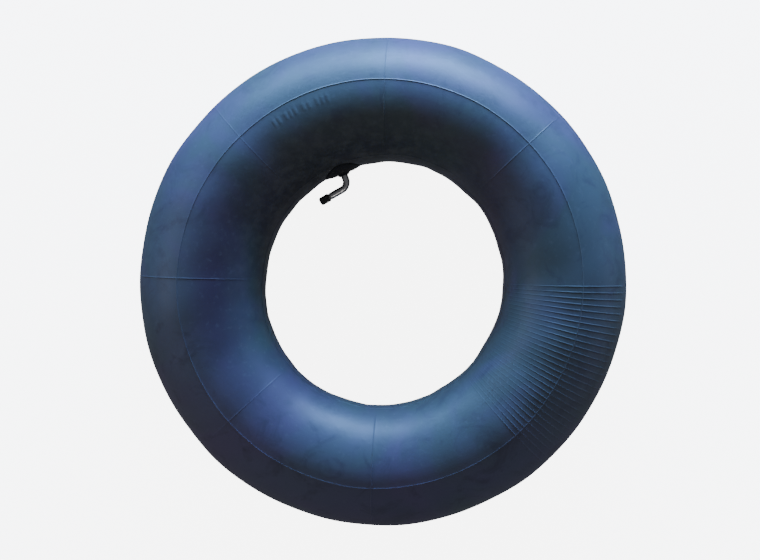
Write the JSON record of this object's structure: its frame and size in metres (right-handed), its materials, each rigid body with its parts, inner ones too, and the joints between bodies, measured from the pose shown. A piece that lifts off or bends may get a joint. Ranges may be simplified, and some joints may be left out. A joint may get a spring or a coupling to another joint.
{
  "type": "inner tube",
  "caption": "Fat rubber inner tube for a small industrial or garden tyre, with a bent metal valve stem, a screw-in valve core and a screw-on cap.",
  "frame": {"origin": "centre of the ring, halfway between its two faces", "axes": "+Z along the ring's axis, out of the face that carries the visible mould lines; +Y from the centre towards the place where the valve leaves the rubber; the outer run of the stem points towards -X"},
  "size_m": [0.5439, 0.544, 0.1416],
  "materials": {
    "tube_rubber": "satin moulded butyl rubber, slightly dusty",
    "pad_rubber": "matt black moulded rubber",
    "plated_brass": "nickel plated, satin, with worn edges",
    "core_brass": "turned, satin",
    "seal_rubber": "matt red-brown moulded rubber",
    "spring_steel": "drawn stainless wire",
    "cap_plastic": "black moulded plastic with fine flutes",
    "cap_seal_rubber": "matt black rubber disc"
  },
  "bodies": {
    "tube": {"tube_body": "tube_rubber", "valve_pad": "pad_rubber", "valve_stem": "plated_brass"},
    "core_carriage": {"core_barrel": "core_brass", "core_barrel_seal": "seal_rubber", "core_spring": "spring_steel"},
    "core_plug": {"core_plug": "core_brass"},
    "core_pin": {"core_pin": "core_brass", "core_cup": "core_brass", "core_seat_seal": "seal_rubber"},
    "cap_carriage": {"cap_seal": "cap_seal_rubber"},
    "valve_cap": {"valve_cap": "cap_plastic"}
  },
  "joints": [
    {"name": "core_lift", "type": "slide", "parent": "tube", "child": "core_carriage", "axis": [-0.9848, -0.1736, 0], "range_m": [0, 0.0007055]},
    {"name": "core_turn", "type": "hinge", "parent": "core_carriage", "child": "core_plug", "pos_m": [0, 0.113, 0], "axis": [-0.9848, -0.1736, 0], "range_deg": [0, 360]},
    {"name": "pin_press", "type": "slide", "parent": "core_carriage", "child": "core_pin", "axis": [0.9848, 0.1736, 0], "range_m": [0, 0.0015], "stiffness_N_per_m": 1200, "springref_m": -0.0015, "deforming": ["core_spring"]},
    {"name": "cap_lift", "type": "slide", "parent": "tube", "child": "cap_carriage", "axis": [-0.9848, -0.1736, 0], "range_m": [0, 0.00953]},
    {"name": "cap_turn", "type": "hinge", "parent": "cap_carriage", "child": "valve_cap", "pos_m": [0, 0.113, 0], "axis": [-0.9848, -0.1736, 0], "range_deg": [0, 4320]}
  ],
  "couplings": [
    {"joint": "core_turn", "follows": "core_lift", "rad_per_m": 8905.3},
    {"joint": "cap_turn", "follows": "cap_lift", "rad_per_m": 7915.8}
  ]
}
